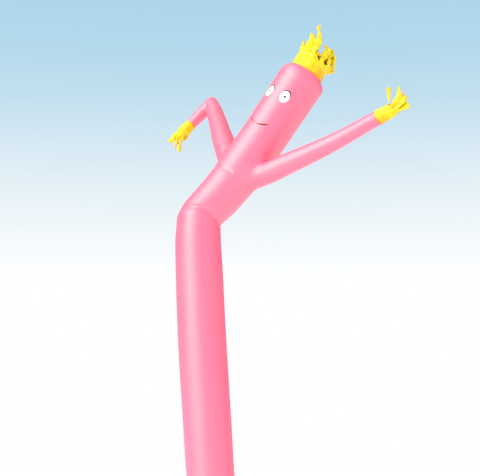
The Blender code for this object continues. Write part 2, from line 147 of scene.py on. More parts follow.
HAIR_STRIPS = [
    strip(-88, 60, 0.25, (138, -173, 30, 62), (174, -187, 50, 56), (217, -197, 60, 42), (249, -205, 60, 24)),
    strip(
        -64, 50, 0.0, (143, -139, 100, 76), (215, -153, 120, 80), (272, -150, 120, 70),
        (325, -163, 110, 46), (338, -194, 100, 26),
    ),
    strip(
        -38, 30, 0.1, (128, -92, 150, 68), (170, -104, 150, 62), (235, -106, 150, 78), (312, -108, 140, 40),
    ),
    strip(
        -12, 5, 0.15, (175, -47, 190, 46), (252, -66, 200, 80), (299, -77, 210, 62), (344, -100, 220, 26),
        (371, -125, 230, 28), (412, -153, 235, 42),
    ),
    strip(11, -5, 0.5, (135, -3, 185, 54), (176, -6, 190, 36), (197, 36, 170, 24)),
    strip(34, -30, 0.0, (166, 68, 150, 58), (233, 58, 140, 68), (309, 53, 110, 50), (311, -13, 90, 12)),
    strip(57, -50, 0.0, (167, 147, 110, 44), (215, 115, 110, 34), (276, 82, 100, 56), (313, 46, 80, 30)),
    strip(
        80, -70, 0.05, (185, 186, 30, 50), (231, 162, 50, 44), (276, 129, 60, 44), (315, 86, 70, 36),
        (321, 48, 90, 30),
    ),
    strip(103, -80, 0.1, (130, 182, -10, 58), (157, 199, 0, 46), (184, 192, 10, 30)),
    *hanging(
        HAIR_RADIUS, 0.1, 0.076, (126, 0.23, -0.03, 0.01), (148, 0.265, -0.04, 0.012),
        (170, 0.19, -0.03, -0.01), (192, 0.19, 0.0, 0.012), (214, 0.24, 0.005, -0.012),
        (236, 0.2, 0.0, 0.01), (255, 0.09, 0.01, -0.008),
    ),
]
FINGERS_RIGHT = [
    strip(-74, 72, 0.4, (149, -66, 30, 34), (169, -102, 20, 30), (190, -150, 20, 34), (212, -201, 20, 56)),
    strip(-45, 35, 0.0, (206, -41, 40, 60), (251, -76, 40, 54), (284, -114, 30, 36), (307, -161, 30, 18)),
    strip(-15, 12, 0.7, (175, -23, 65, 44), (234, -34, 60, 50), (286, -53, 50, 46), (318, -89, 40, 34)),
    strip(18, -15, 0.2, (175, 20, 70, 38), (233, 7, 70, 36), (292, -17, 60, 50), (339, -37, 50, 42)),
    strip(55, -50, 0.0, (197, 37, 50, 38), (246, 31, 50, 46), (294, 32, 40, 60), (329, 42, 40, 44)),
    strip(95, -80, 0.4, (159, 37, 0, 46), (198, 32, 0, 36), (221, 35, 0, 20)),
    *hanging(
        0.064, 0.115, 0.044, (150, 0.15, -0.03, 0.006), (205, 0.15, -0.03, -0.006),
        (253, 0.06, -0.01, 0.0),
    ),
]
FINGERS_LEFT = [
    strip(70, -60, 0.0, (180, 34, 30, 62), (250, 28, 30, 66), (315, 20, 30, 42)),
    strip(25, -20, 0.45, (179, -4, 50, 44), (242, -21, 45, 34), (283, -42, 40, 26), (316, -63, 30, 24)),
    strip(
        -20, 15, 0.3, (172, -40, 50, 44), (217, -53, 40, 34), (255, -77, 40, 30), (294, -101, 30, 40),
        (327, -124, 30, 24),
    ),
    strip(-60, 50, 0.6, (139, -61, 30, 48), (170, -62, 20, 36), (193, -65, 20, 20)),
    *hanging(
        0.064, 0.112, 0.042, (-102, 0.05, -0.01, 0.006), (-135, 0.17, -0.01, 0.006),
        (172, 0.12, -0.02, -0.006), (118, 0.07, -0.012, 0.004),
    ),
]

# A yellow end: its band's radii and height, how many gathers it has, the azimuth it is lit from, its painted
# shade being darkest opposite, how dark that painted shade is, how far its edge leans aside, and its strips
# with their cup and seed.
Fringe = namedtuple("Fringe", "radii height gathers shaded depth lean strips cup seed")
HAIR = Fringe((HAIR_RADIUS, HAIR_RADIUS), 0.1, 30, -75.0, 0.8, -0.014, HAIR_STRIPS, 0.9, 2.0)
HANDS = {
    "right": Fringe((0.0668, 0.0668, 0.064), 0.115, 15, -100.0, 0.8, 0.0, FINGERS_RIGHT, 0.8, 4.0),
    "left": Fringe((0.052, 0.061, 0.064), 0.112, 15, 100.0, 0.4, 0.0, FINGERS_LEFT, 0.8, 6.0),
}
BAND_TUCK, BAND_UNDER = 0.004, 0.014
FINE_GATHER, LOOSE_GATHER = 0.0022, 0.005

# Face
FACE_AZIMUTH, EYE_AZIMUTH = -29.5, 24.5
EYE_BELOW = 0.3
EYE_HALF_WIDTH, EYE_HALF_HEIGHT = 0.049, 0.063
PUPIL_RADIUS = 0.012
LID_WIDTH, LID_GAP, LID_START, LID_SWEEP = 0.0135, 0.0009, -52, 128
PATCH_LIFT, PUPIL_LIFT = 0.0014, 0.0036
MOUTH_BELOW, MOUTH_DROP = 0.638, 0.047
MOUTH_HALF_ANGLE, MOUTH_HALF_HEIGHT = 29.5, 0.009
MOUTH_WIDTHS = ((-1.0, -0.9, -0.75, -0.5, 0.1, 0.4, 0.7, 1.0), (0.3, 0.9, 1.0, 0.5, 0.45, 0.9, 1.0, 0.2))
# Painted highlight along the mouth: its dark ends keep their own colour, its middle is painted lighter red
# where the head's highlight falls.
MOUTH_TONES = ((-1.0, -0.75, -0.5, 0.0, 0.25, 1.0), (0.0, 0.0, 1.0, 1.0, 0.0, 0.0))

# Sewing
STITCH_LENGTH, THREAD_RADIUS = 0.005, 0.0007
STITCH_PITCH, EYE_STITCH_PITCH, BACK_STITCH_PITCH = 0.008, 0.007, 0.01
STITCH_LIFT = 0.0006
TAPE_HALF_WIDTH, TAPE_THICKNESS = 0.008, 0.0009
BACK_ROW_AWAY = 0.0045

# Light: the ranges over which it grows towards the front and the right, its colours, and the large lamp
FRONT_LIGHT, RIGHT_LIGHT = (0.3, -0.2), (-0.6, 0.7)
BACK_FILL, LEFT_FILL, RIGHT_FILL = (0.4, 0.4, 0.42), (0.37, 0.37, 0.37), (1.02, 0.95, 1.03)
KEY_LIGHT = (8.3, 7.8, 6.4)
KEY_AZIMUTH, KEY_ELEVATION, KEY_LEAN = -51.0, 28.0, 24.0
KEY_WIDTH, KEY_HEIGHT = 0.32, 0.62
FLOOR_GLOW, FLOOR_SIZE, FLOOR_DROP = 0.2, 60.0, -0.002
SKY = (
    (0.0, (1.0, 1.0, 1.0)), (0.137, (1.0, 1.0, 1.0)), (0.163, (0.931, 0.965, 0.991)),
    (0.206, (0.807, 0.896, 0.93)), (0.248, (0.68, 0.815, 0.913)), (0.289, (0.546, 0.745, 0.863)),
    (0.33, (0.456, 0.694, 0.838)), (0.37, (0.418, 0.672, 0.838)),
)


# Materials


class Tree:
    """The nodes of a material, of the surround or of a geometry tree."""

    def __init__(self, group):
        self.group = group

    def join(self, value, socket):
        if isinstance(value, bpy.types.NodeSocket):
            self.group.links.new(value, socket)
        else:
            socket.default_value = value

    def node(self, kind, *values, **named):
        """Adds a node: values for its first inputs, then inputs by name, with a capital, and settings."""
        node = self.group.nodes.new(kind)
        for key, value in named.items():
            if key[0].islower():
                setattr(node, key, value)
        for key, value in [*enumerate(values), *named.items()]:
            if isinstance(key, int):
                self.join(value, node.inputs[key])
            elif key[0].isupper():
                self.join(value, node.inputs[key.replace("_", " ")])
        return node

    def add(self, kind, *values, **named):
        """Adds a node and gives its first output."""
        return self.node(kind, *values, **named).outputs[0]

    def math(self, operation, first, second=0.0):
        return self.add("ShaderNodeMath", first, second, operation=operation)

    def product(self, first, *others):
        for other in others:
            first = self.math("MULTIPLY", first, other)
        return first

    def mix(self, factor, first, second):
        """A colour between two others; each is a socket or a plain colour."""
        node = self.node("ShaderNodeMix", factor, data_type="RGBA")
        for number, colour in ((6, first), (7, second)):
            self.join((*colour, 1.0) if isinstance(colour, tuple) else colour, node.inputs[number])
        return node.outputs[2]

    def ramp(self, value, low, high):
        return self.add("ShaderNodeMapRange", Value=value, From_Min=low, From_Max=high)

    def noise(self, scale, detail=2.0):
        place = self.node("ShaderNodeTexCoord").outputs["Object"]
        return self.add("ShaderNodeTexNoise", Vector=place, Scale=scale, Detail=detail)

    def attribute(self, name):
        return self.node("ShaderNodeAttribute", attribute_name=name).outputs["Fac"]

    def bump(self, height, strength, distance, **under):
        return self.add("ShaderNodeBump", Height=height, Strength=strength, Distance=distance, **under)


def new_material(name, sockets):
    """A material, its tree and its shader's sockets, with their plain values set."""
    made = bpy.data.materials.new(name)
    made.use_nodes = True
    inputs = made.node_tree.nodes["Principled BSDF"].inputs
    for label, value in sockets.items():
        inputs[label].default_value = value
    return made, Tree(made.node_tree), inputs


def nylon(name, colour, doubled, folded, gloss):
    """Ripstop nylon: a fine check of thicker threads on the cloth's own map, with a soft sheen."""
    check, line = 0.005, 0.0006
    made, tree, shader = new_material(name, {
        "Roughness": 0.42, "IOR": 1.65, "Sheen Weight": 0.05, "Sheen Roughness": 0.4,
        "Specular IOR Level": gloss,
    })
    cloud = tree.product(tree.ramp(tree.noise(2.2), 0.35, 0.65), 0.35)
    shaded = tree.mix(cloud, colour, tuple(0.93 * c for c in colour))
    # Painted shade: each piece says per point how far its colour darkens towards the given shade colour.
    shaded = tree.mix(tree.attribute("folded"), shaded, folded)
    # Laps at seams take a deeper colour of their own; on the yellow bands it is partly painted shade,
    # heavier away from the light.
    shaded = tree.mix(tree.attribute("doubled"), shaded, doubled)
    tree.join(shaded, shader["Base Color"])
    grid = tree.node("ShaderNodeUVMap", uv_map="UVMap").outputs["UV"]
    threads = tree.node(
        "ShaderNodeTexBrick", Vector=grid, Scale=1.0, Brick_Width=check, Row_Height=check,
        Mortar_Size=line, offset=0.0, squash=1.0
    ).outputs["Fac"]
    soft = tree.bump(tree.noise(14.0, 3.0), 0.35, 0.004)
    tree.join(tree.bump(threads, 0.25, 0.0004, Normal=soft), shader["Normal"])
    return made


def face_cloth(name, colour, faded):
    """Cloth of the face's patches, with a faint weave."""
    made, tree, shader = new_material(name, {"Roughness": 0.6, "Sheen Weight": 0.1})
    # Painted highlight: the colour turns to the lighter one given where a patch says so.
    tree.join(tree.mix(tree.attribute("faded"), colour, faded), shader["Base Color"])
    tree.join(tree.bump(tree.noise(900.0, 1.0), 0.2, 0.0005), shader["Normal"])
    return made


def thread(name, colour):
    made, tree, shader = new_material(name, {"Roughness": 0.55})
    tree.join(tree.mix(tree.noise(300.0, 1.0), colour, tuple(0.8 * c for c in colour)), shader["Base Color"])
    return made


# Each nylon: its own colour, its laps' deeper colour (on the yellow bands also painted shade), its painted
# shade colour, and its gloss.
PINK_NYLON = nylon("pink_nylon_cloth", (1.0, 0.118, 0.258), (0.93, 0.15, 0.27), (0.8, 0.1, 0.2), 1.0)
YELLOW_NYLON = nylon("yellow_nylon_cloth", (0.84, 0.665, 0.008), (0.9, 0.12, 0.01), (0.82, 0.31, 0.0), 0.25)
# Inner faces of the strips: a darker, more orange copy of the yellow nylon, painted shade.
YELLOW_SHADED_INSIDE = nylon("yellow_nylon_inside", (0.93, 0.49, 0.005), (0.6, 0.2, 0.0), (0.17, 0.055, 0.0), 0.1)
WHITE_CLOTH = face_cloth("white_eye_cloth", (0.93, 0.93, 0.93), (0.93, 0.93, 0.93))
GREY_CLOTH = face_cloth("grey_pupil_cloth", (0.045, 0.045, 0.045), (0.08, 0.08, 0.08))
DARK_CLOTH = face_cloth("dark_lid_cloth", (0.045, 0.012, 0.016), (0.1, 0.02, 0.03))
MOUTH_CLOTH = face_cloth("mouth_cloth", (0.09, 0.012, 0.016), (0.62, 0.09, 0.11))
PINK_THREAD = thread("pink_thread", (0.85, 0.16, 0.27))
YELLOW_THREAD = thread("yellow_thread", (0.85, 0.6, 0.03))
WHITE_THREAD = thread("white_thread", (0.85, 0.85, 0.83))


# Geometry node trees


class GeometryTree(Tree):
    """A geometry node tree with named number inputs, and its material last."""

    def __init__(self, name, *labels):
        super().__init__(bpy.data.node_groups.new(name, "GeometryNodeTree"))
        self.socket("Geometry", "Geometry")
        for label in labels:
            self.socket(label, "Float")
        self.socket("Material", "Material")
        self.socket("Geometry", "Geometry", "OUTPUT")
        self.given = self.group.nodes.new("NodeGroupInput").outputs
        self.end = self.group.nodes.new("NodeGroupOutput").inputs[0]

    def socket(self, label, kind, way="INPUT"):
        self.group.interface.new_socket(label, in_out=way, socket_type="NodeSocket" + kind)

    def named(self, name, kind="FLOAT"):
        return self.node("GeometryNodeInputNamedAttribute", Name=name, data_type=kind).outputs["Attribute"]

    def cloud(self, size):
        """Soft noise with its lumps about the size given, for the tree's seed."""
        scale = self.math("DIVIDE", 1.0, size)
        return self.add(
            "ShaderNodeTexNoise", W=self.given["Seed"], Scale=scale, Detail=1.0, noise_dimensions="4D"
        )

    def guides(self):
        """The guide lines as curves that face the way their points say."""
        lines = self.add("GeometryNodeMeshToCurve", Mesh=self.given[0])
        return self.add(
            "GeometryNodeSetCurveNormal", Curve=lines, Normal=self.named("facing", "FLOAT_VECTOR"),
            mode="FREE"
        )

    def keep_value(self, geometry, value):
        """Keeps a value with a curve's points, so the finished mesh can read it."""
        node = self.node("GeometryNodeCaptureAttribute", domain="POINT")
        node.capture_items.new("FLOAT", "Value")
        self.join(geometry, node.inputs["Geometry"])
        self.join(value, node.inputs["Value"])
        return node.outputs["Geometry"], node.outputs[1]

    def push(self, geometry, amount):
        """Moves a surface along its own normals."""
        normal = self.add("GeometryNodeInputNormal")
        lift = self.add("ShaderNodeVectorMath", normal, Scale=amount, operation="SCALE")
        return self.add("GeometryNodeSetPosition", Geometry=geometry, Offset=lift)

    def close(self, geometry):
        """Ends the tree: smooth faces, real geometry, and its material."""
        smooth = self.add("GeometryNodeSetShadeSmooth", Geometry=geometry)
        real = self.add("GeometryNodeRealizeInstances", Geometry=smooth)
        done = self.add("GeometryNodeSetMaterial", Geometry=real, Material=self.given["Material"])
        self.join(done, self.end)
        return self


def apply_tree(obj, tree, **values):
    """Runs the tree on the object and keeps its result as a plain mesh."""
    modifier = obj.modifiers.new(tree.group.name, "NODES")
    modifier.node_group = tree.group
    for item in tree.group.interface.items_tree:
        key = item.name.lower().replace(" ", "_")
        if item.in_out == "INPUT" and key in values:
            modifier[item.identifier] = values[key]
    flatten(obj)


def flatten(obj):
    """Replaces the object's mesh by its evaluated one and drops the modifiers."""
    graph = bpy.context.evaluated_depsgraph_get()
    mesh = bpy.data.meshes.new_from_object(obj.evaluated_get(graph), depsgraph=graph)
    obj.modifiers.clear()
    obj.data = mesh
    mesh.name = obj.name


def make_cloth_tree():
    """Billows the cloth a little and puckers it along its seams."""
    tree = GeometryTree(
        "blown_cloth", "Billow Height", "Billow Size", "Pucker Height", "Pucker Pitch", "Seed"
    )
    given = tree.given
    cloud = tree.cloud(given["Billow Size"])
    free = tree.math("SUBTRACT", 1.0, tree.named("near_seam"))
    billow = tree.product(tree.math("SUBTRACT", cloud, 0.5), given["Billow Height"], free)
    turns = tree.math("DIVIDE", tree.named("along_seam"), given["Pucker Pitch"])
    wave = tree.math("SINE", tree.math("ADD", tree.product(turns, 2 * math.pi), tree.product(cloud, 9.0)))
    near = tree.math("POWER", tree.named("near_seam"), 2.0)
    beside = tree.product(near, tree.math("SUBTRACT", 1.0, near), 4.0)
    pucker = tree.product(wave, beside, given["Pucker Height"])
    return tree.close(tree.push(given[0], tree.math("ADD", billow, pucker)))


def make_strip_tree():
    """Sweeps a cupped ribbon along each guide line, with the guide's own width and facing."""
    tree = GeometryTree(
        "cut_strips", "Cup", "Ripple Height", "Ripple Size", "Flutter Height", "Flutter Pitch", "Seed"
    )
    given = tree.given
    half_width = tree.named("half_width")
    wide = tree.add("GeometryNodeSetCurveRadius", Curve=tree.guides(), Radius=half_width)
    guides, length = tree.keep_value(wide, tree.node("GeometryNodeSplineParameter").outputs["Length"])
    radius = tree.math("DIVIDE", 1.0, tree.math("SINE", given["Cup"]))
    arc = tree.add(
        "GeometryNodeCurveArc", Resolution=STRIP_ACROSS, Radius=radius,
        Start_Angle=tree.product(given["Cup"], -1.0), Sweep_Angle=tree.product(given["Cup"], 2.0)
    )
    back = tree.add("ShaderNodeCombineXYZ", X=tree.product(radius, -1.0))
    centred = tree.add("GeometryNodeTransform", Geometry=arc, Translation=back)
    profile, across = tree.keep_value(centred, tree.node("GeometryNodeSplineParameter").outputs["Factor"])
    ribbon = tree.add("GeometryNodeCurveToMesh", Curve=guides, Profile_Curve=profile, Scale=half_width)
    cloud = tree.cloud(given["Ripple Size"])
    ripple = tree.product(tree.math("SUBTRACT", cloud, 0.5), given["Ripple Height"])
    waves = tree.math("DIVIDE", tree.product(length, 2 * math.pi), given["Flutter Pitch"])
    slanted = tree.math("ADD", waves, tree.product(across, 1.7 * math.pi))
    flutter = tree.math("SINE", tree.math("ADD", slanted, tree.product(cloud, 9.0)))
    free = tree.math("MINIMUM", tree.product(length, 9.0), 1.0)
    flutter = tree.product(flutter, given["Flutter Height"], free)
    rippled = tree.push(ribbon, tree.math("ADD", ripple, flutter))
    flat = tree.add("ShaderNodeCombineXYZ", X=tree.product(across, STRIP_MAP_WIDTH), Y=length)
    mapped = tree.add(
        "GeometryNodeStoreNamedAttribute", Geometry=rippled, Name="UVMap", Value=flat, data_type="FLOAT2",
        domain="CORNER"
    )
    return tree.close(mapped)


def make_tape_tree():
    """Lays a flat seam tape along each guide line."""
    tree = GeometryTree("seam_tape", "Half Width", "Thickness")
    given = tree.given
    bead = tree.add("GeometryNodeCurvePrimitiveCircle", Resolution=10, Radius=1.0)
    shape = tree.add("ShaderNodeCombineXYZ", X=given["Thickness"], Y=given["Half Width"], Z=1.0)
    flat = tree.add("GeometryNodeTransform", Geometry=bead, Scale=shape)
    tape = tree.add("GeometryNodeCurveToMesh", Curve=tree.guides(), Profile_Curve=flat, Fill_Caps=True)
    return tree.close(tape)


def make_stitch_tree():
    """Sets small thread stitches end to end along each guide line."""
    tree = GeometryTree("stitch_row", "Pitch", "Length", "Thread Radius")
    given = tree.given
    lines = tree.add("GeometryNodeMeshToCurve", Mesh=given[0])
    places = tree.node("GeometryNodeCurveToPoints", Curve=lines, Length=given["Pitch"], mode="LENGTH")
    bead = tree.add("GeometryNodeMeshUVSphere", Segments=5, Rings=4, Radius=1.0)
    size = tree.add(
        "ShaderNodeCombineXYZ", X=given["Thread Radius"], Y=given["Thread Radius"],
        Z=tree.product(given["Length"], 0.5)
    )
    stitches = tree.add(
        "GeometryNodeInstanceOnPoints", Points=places.outputs["Points"], Instance=bead,
        Rotation=places.outputs["Rotation"], Scale=size
    )
    return tree.close(stitches)


BLOWN_CLOTH = make_cloth_tree()
CUT_STRIPS = make_strip_tree()
SEAM_TAPE = make_tape_tree()
STITCH_ROW = make_stitch_tree()


# Surfaces


def knots_of(points):
    """Distance along a line of points, from its start."""
    return np.concatenate([[0.0], np.cumsum(np.linalg.norm(np.diff(points, axis=0), axis=1))])


def through(knots, rows, at, ease=1.0):
    """Smooth values through rows at the places asked for; an ease under 1 keeps the turns tighter."""
    rows = np.asarray(rows, float)
    shape = (-1,) + (1,) * (rows.ndim - 1)
    step = np.diff(knots).reshape(shape)
    slope = np.diff(rows, axis=0) / step
    middle = (slope[1:] * step[:-1] + slope[:-1] * step[1:]) / (step[1:] + step[:-1])
    tangent = np.concatenate([slope[:1], middle, slope[-1:]]) * ease
    i = np.clip(np.searchsorted(knots, at, side="right") - 1, 0, len(knots) - 2)
    h = step[i]
    t = ((at - knots[i]).reshape(shape)) / h
    return (
        rows[i] * (2 * t**3 - 3 * t**2 + 1) + rows[i + 1] * (3 * t**2 - 2 * t**3)
        + tangent[i] * h * (t**3 - 2 * t**2 + t) + tangent[i + 1] * h * (t**3 - t**2)
    )


def circle(steps):
    return np.arange(steps) * 2 * math.pi / steps


def bump_at(distance, width):
    return np.exp(-((distance / width) ** 2))


def smooth_step(low, high, value):
    t = np.clip((value - low) / (high - low), 0.0, 1.0)
    return t * t * (3 - 2 * t)


def turn_between(angle, middle, half_width):
    """1 at an azimuth in degrees, falling off to 0 at half_width away, round the circle."""
    away = (np.degrees(angle) - middle + 180.0) % 360.0 - 180.0
    return 1.0 - smooth_step(0.3, 1.0, np.abs(away) / half_width)


def tube_mesh(name, points, radius, v, keep=None):
    """A mesh of quads round rows of points, with a map in metres; keep says which points stay."""
    rows, steps = points.shape[:2]
    r, c = np.meshgrid(np.arange(rows - 1), np.arange(steps), indexing="ij")
    a, b = r * steps + c, r * steps + (c + 1) % steps
    quads = np.stack([a, b, b + steps, a + steps], axis=-1).reshape(-1, 4)
    u = np.tile(circle(steps) * radius, rows)
    corners = np.stack([u[quads], v.reshape(-1)[quads]], axis=-1)
    corners[(c + 1 == steps).reshape(-1), 1:3, 0] = 2 * math.pi * radius
    if keep is not None:
        wanted = keep.reshape(-1)[quads].any(axis=1)
        quads, corners = quads[wanted], corners[wanted]
    mesh = bpy.data.meshes.new(name)
    mesh.from_pydata(points.reshape(-1, 3).tolist(), [], quads.tolist())
    mesh.uv_layers.new(name="UVMap").data.foreach_set("uv", corners.reshape(-1))
    set_points(mesh, along_seam=u)
    return mesh


def set_points(mesh, **values):
    """Stores a number for each point, or one for them all, under the names given."""
    count = len(mesh.vertices)
    for name, numbers in values.items():
        store = mesh.attributes.get(name) or mesh.attributes.new(name, "FLOAT", "POINT")
        numbers = np.asarray(numbers, float).reshape(-1)
        store.data.foreach_set("value", np.resize(numbers, count))


def points_of(obj):
    return np.array([v.co for v in obj.data.vertices])


def add_piece(name, mesh):
    obj = bpy.data.objects.new(name, mesh)
    bpy.context.scene.collection.objects.link(obj)
    return obj


def drop_loose(mesh):
    """Removes points that no face uses."""
    work = bmesh.new()
    work.from_mesh(mesh)
    bmesh.ops.delete(work, geom=[v for v in work.verts if not v.link_faces], context="VERTS")
    work.to_mesh(mesh)
    work.free()


def thicken(obj, thickness, inside=0):
    """Gives the cloth its thickness; inside counts on to the material of the inner face."""
    modifier = obj.modifiers.new("Thickness", "SOLIDIFY")
    modifier.thickness = thickness
    modifier.offset = -1.0
    modifier.material_offset = inside
    flatten(obj)


def finish_cloth(name, mesh, material, seed, billow, pucker):
    """A blown piece of cloth; billow and pucker give their height, and their size or pitch."""
    obj = add_piece(name, mesh)
    apply_tree(obj, BLOWN_CLOTH, billow_height=billow[0], billow_size=billow[1], pucker_height=pucker[0],
               pucker_pitch=pucker[1], seed=seed, material=material)
    thicken(obj, CLOTH)
    return obj


# Body tube


def directions(tilt):
    """Across and along a tube that is tilted by an angle in degrees."""
    angle = np.radians(tilt)
    zero = np.zeros_like(angle)
    side = np.stack([np.cos(angle), zero, -np.sin(angle)], axis=-1)
    return side, np.stack([np.sin(angle), zero, np.cos(angle)], axis=-1)


def head_sections():
    """The head's rounding, as sections like the body's."""
    axis = directions(HEAD_TILT)[1]
    return [
        (HEAD_TOP_X + axis[0] * height, HEAD_TOP_Z + axis[2] * height, tilt, radius, radius, 0.0)
        for height, radius, tilt in SHOULDER
    ]


class Tube:
    """The body's shape: smooth sections along it, and points on its skin."""

    def __init__(self):
        self.rows = np.array(BODY + head_sections())
        self.knots = knots_of(self.rows[:, [0, 1, 3]])
        self.fold = self.knots[FOLD_ROW]
        self.wrinkle = self.knots[WRINKLE_ROW] + WRINKLE_ABOVE
        self.head = self.knots[len(BODY)]
        self.top = self.knots[-1]

    def frame(self, at):
        """Centre, side, axis, half width, half depth and bow, at each place."""
        x, z, tilt, wide, deep, bow = through(self.knots, self.rows, at).T
        return (np.stack([x, np.zeros_like(x), z], axis=-1), *directions(tilt), wide, deep, bow)

    def skin(self, at, turns, lift=0.0):
        """Points on the cloth, a row of them round the tube for each place."""
        centre, side, axis, wide, deep, bow = self.frame(at)
        right, front = np.sin(turns), np.cos(turns)
        grow = self.relief(at, turns) + lift
        points = centre[:, None] + side[:, None] * ((wide[:, None] + grow) * right)[..., None]
        points = points + np.array(FRONT) * ((deep[:, None] + grow) * front)[..., None]
        return points + axis[:, None] * (bow[:, None] * front**2)[..., None]

    def relief(self, at, turns):
        """How far the folds lift the cloth off its plain section."""
        t, a = at[:, None], turns[None, :]
        beside = t - self.fold
        fold = bump_at(beside - 0.01 * np.sin(a), FOLD_WIDTH) * turn_between(a, *FOLD_SIDE)
        swell = bump_at(beside - SWELL_AWAY, SWELL_WIDTH) + bump_at(beside + SWELL_AWAY, SWELL_WIDTH)
        swell = swell * turn_between(a, *SWELL_SIDE)
        crease = np.cos(2 * math.pi * beside / CREASE_PITCH) * bump_at(beside, CREASE_WIDTH)
        crease = crease * turn_between(a, *CREASE_SIDE)
        wrinkle = bump_at(t - self.wrinkle - 0.03 * np.sin(a + 1.1), WRINKLE_WIDTH)
        wrinkle = wrinkle * turn_between(a, *WRINKLE_SIDE)
        lift = SWELL_HEIGHT * swell + CREASE_HEIGHT * crease - FOLD_DEPTH * fold - WRINKLE_DEPTH * wrinkle
        return lift + np.where(t < HEM_HEIGHT, HEM_STEP, 0.0)

    def places(self):
        """Places along the tube for the rows of its cloth, closer where it bends."""
        at = []
        for row, (low, high) in enumerate(zip(self.knots, self.knots[1:])):
            spacing = BODY_SPACING
            if row < 2:
                spacing = HEM_SPACING
            elif row in BEND_ROWS:
                spacing = BEND_SPACING
            elif row >= len(BODY) - 1:
                spacing = SHOULDER_SPACING
            at.append(np.linspace(low, high, max(1, math.ceil((high - low) / spacing)), endpoint=False))
        return np.concatenate([*at, [self.top]])


def sweep_frames(points):
    """A frame (axis, side, front, bend) at each point, carried along the line without twist."""
    runs = [(b - a).normalized() for a, b in zip(points, points[1:])]
    axes = [runs[0]] + [(a + b).normalized() for a, b in zip(runs, runs[1:])] + [runs[-1]]
    front = FRONT - axes[0] * FRONT.dot(axes[0])
    frames = []
    for i, axis in enumerate(axes):
        if i:
            front = axes[i - 1].rotation_difference(axis) @ front
        front = (front - axis * front.dot(axis)).normalized()
        bend = runs[min(i, len(runs) - 1)] - runs[max(i - 1, 0)]
        frames.append((axis, axis.cross(front), front, bend))
    return frames


class Sleeve:
    """A sleeve's shape, as smooth columns through the rings of its stations."""

    def __init__(self, stations, ease):
        self.points = [Vector(row[:3]) for row in stations]
        self.frames = sweep_frames(self.points)
        self.radii = np.array(stations)[:, 3]
        self.centres = np.array(self.points)
        self.knots = knots_of(self.centres)
        self.end = self.knots[-1]
        self.ease = ease

    def rings(self, turns):
        made = []
        for point, radius, (axis, side, front, bend) in zip(self.points, self.radii, self.frames):
            half_turn = math.asin(min(bend.length / 2, 0.95))
            stretch = min(1 / math.cos(half_turn), MOST_STRETCH)
            inward = (bend - axis * bend.dot(axis)).normalized() if bend.length > 1e-6 else side
            offset = np.sin(turns)[:, None] * np.array(side) + np.cos(turns)[:, None] * np.array(front)
            inner = np.array(inward)
            offset = offset + inner * ((offset @ inner) * (stretch - 1))[:, None]
            made.append(np.array(point) + offset * radius)
        return np.array(made)

    def centre_line(self, at):
        return through(self.knots, self.centres, at, self.ease), through(self.knots, self.radii, at)


# Joining the sleeves to the body


def nearest_of(points, centres):
    gaps = points[:, None, :] - centres[None, :, :]
    return np.argmin((gaps * gaps).sum(axis=2), axis=1)


class BodyReach:
    """How far points lie outside the body tube near the sleeves; less than 0 is inside."""

    def __init__(self, tube):
        at = np.arange(tube.fold, tube.head, REACH_STEP)
        self.centre, self.side, self.axis, self.wide, self.deep, _ = tube.frame(at)
        self.slopes = np.gradient(self.wide, REACH_STEP), np.gradient(self.deep, REACH_STEP)

    def __call__(self, points):
        nearest = nearest_of(points, self.centre)
        away = points - self.centre[nearest]
        beyond = (away * self.axis[nearest]).sum(axis=1)
        wide = self.wide[nearest] + self.slopes[0][nearest] * beyond
        deep = self.deep[nearest] + self.slopes[1][nearest] * beyond
        x, y = (away * self.side[nearest]).sum(axis=1), away @ np.array(FRONT)
        reach = np.hypot(x, y)
        return reach - reach / np.maximum(np.hypot(x / wide, y / deep), 1e-6)


class SleeveReach:
    """The same for a sleeve."""

    def __init__(self, sleeve):
        self.centre, self.radius = sleeve.centre_line(np.arange(0.0, sleeve.end * 0.6, REACH_STEP))
        self.slope = np.gradient(self.radius, REACH_STEP)
        self.axis = np.gradient(self.centre, axis=0)
        self.axis /= np.linalg.norm(self.axis, axis=1)[:, None]

    def __call__(self, points):
        away, radius = self.away(points)
        return np.linalg.norm(away, axis=1) - radius

    def away(self, points):
        nearest = nearest_of(points, self.centre)
        gap, axis = points - self.centre[nearest], self.axis[nearest]
        beyond = np.clip((gap * axis).sum(axis=1), -REACH_STEP, REACH_STEP)
        return gap - axis * beyond[:, None], self.radius[nearest] + self.slope[nearest] * beyond

    def from_root(self, points):
        """Distance along the sleeve, from the start of its centre line."""
        return nearest_of(points, self.centre) * REACH_STEP

    def outward(self, points):
        away = self.away(points)[0]
        return away / np.maximum(np.linalg.norm(away, axis=1), 1e-6)[:, None]


def slope_of(field, points):
    """A field's value at points, and the way it grows there."""
    value = field(points)
    steps = np.eye(3) * 0.001
    return value, np.stack([field(points + step) - value for step in steps], axis=-1) / 0.001


def smooth_union(first, second, reach):
    """The distance outside two shapes run together over a reach."""
    share = np.maximum(reach - np.abs(first - second), 0.0) / reach
    return np.minimum(first, second) - share * share * reach / 4


